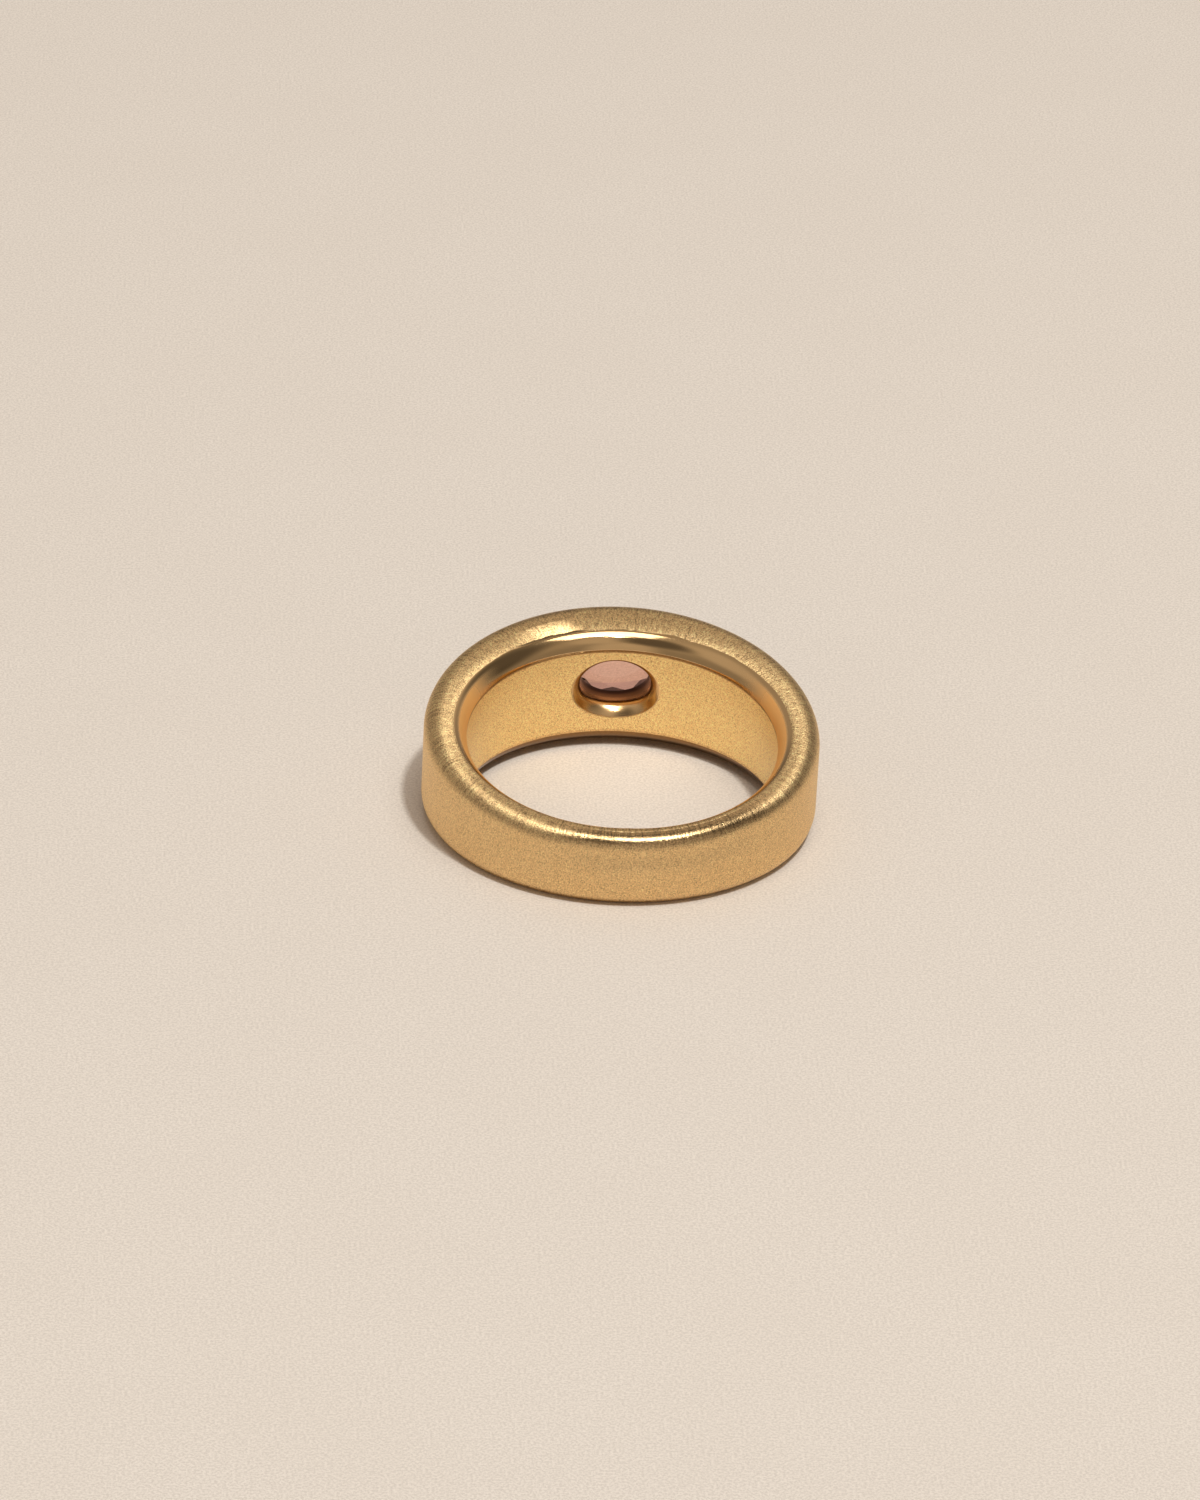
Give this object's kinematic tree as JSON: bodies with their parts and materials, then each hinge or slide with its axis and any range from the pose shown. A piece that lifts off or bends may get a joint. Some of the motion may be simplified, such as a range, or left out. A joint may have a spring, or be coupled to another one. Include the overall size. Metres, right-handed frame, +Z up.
{
  "type": "flush set ring",
  "caption": "Tapered satin gold ring lying on its side, with an oval pink cut stone set flush in its thick head and an open window behind the stone.",
  "frame": {"origin": "on the surface that the ring lies on, under the middle of its outline", "axes": "+Z up from the lower side face, +Y towards the head and its stone, X across the ring"},
  "size_m": [0.022, 0.0232, 0.0078],
  "materials": {
    "gold": "satin outside and in the finger hole, polished in the flare and the window",
    "pink_stone": "polished, transparent"
  },
  "bodies": {
    "root": {"ring_band": "gold", "stone": "pink_stone"}
  },
  "joints": []
}
